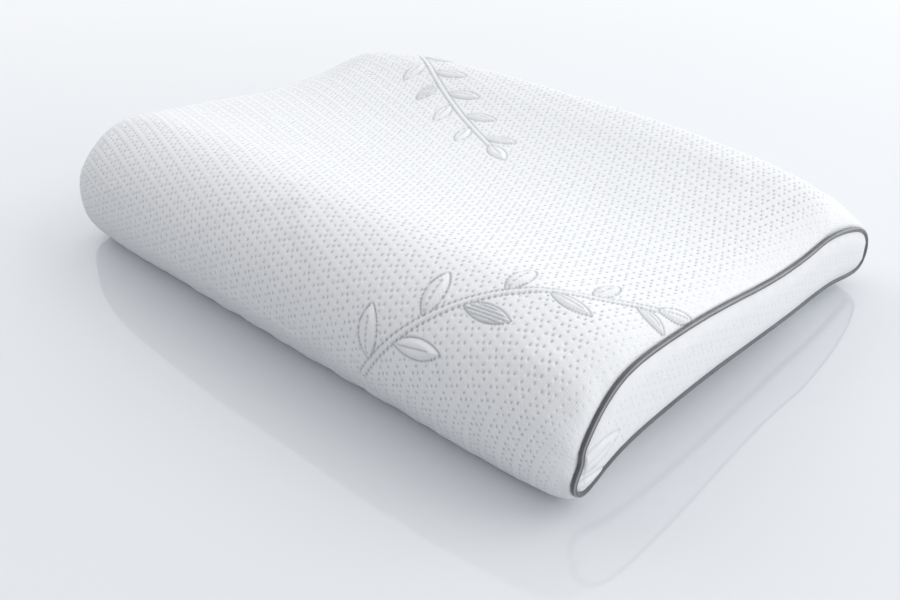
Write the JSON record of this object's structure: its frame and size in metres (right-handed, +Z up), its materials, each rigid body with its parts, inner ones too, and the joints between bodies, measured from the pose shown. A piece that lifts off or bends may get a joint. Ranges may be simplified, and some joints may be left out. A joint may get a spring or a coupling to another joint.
{
  "type": "bed pillow",
  "caption": "Contoured foam bed pillow with a high and a low lobe, in a zipped knitted cover with piped end panels.",
  "frame": {"origin": "centre of the bottom of the bounding box, on the surface that the pillow rests on", "axes": "+X along the pillow towards its right end, -Y towards the high lobe, +Z up"},
  "size_m": [0.5542, 0.4245, 0.1165],
  "materials": {
    "foam": "cream open-cell foam",
    "liner_knit": "thin plain white knit",
    "cover_knit": "white padded double knit, slight sheen",
    "piping_tape": "dark grey satin tape",
    "piping_cord": "soft white filler cord",
    "zip_tape": "white woven tape",
    "zip_teeth": "white nylon coil",
    "zip_metal": "nickel-plated zinc"
  },
  "bodies": {
    "pillow": {"foam_core": "foam", "liner_tube": "liner_knit", "liner_end_left": "liner_knit", "liner_end_right": "liner_knit", "cover_wrap": "cover_knit", "end_panel_left": "cover_knit", "end_panel_right": "cover_knit", "piping_tape_left": "piping_tape", "piping_tape_right": "piping_tape", "piping_cord_left": "piping_cord", "piping_cord_right": "piping_cord", "zipper_tape_front": "zip_tape", "zipper_tape_back": "zip_tape", "zipper_coil_front": "zip_teeth", "zipper_coil_back": "zip_teeth", "zipper_top_stop_front": "zip_metal", "zipper_top_stop_back": "zip_metal", "zipper_bottom_stop": "zip_metal"},
    "slider": {"zipper_slider": "zip_metal"},
    "pull": {"zipper_pull": "zip_metal"}
  },
  "joints": [
    {"name": "zip_slide", "type": "slide", "parent": "pillow", "child": "slider", "axis": [-1, 0, 0], "range_m": [0, 0.391]},
    {"name": "pull_swing", "type": "hinge", "parent": "slider", "child": "pull", "pos_m": [0.1945, -0.028, 0.01195], "axis": [0, -1, 0], "range_deg": [0, 172]}
  ]
}
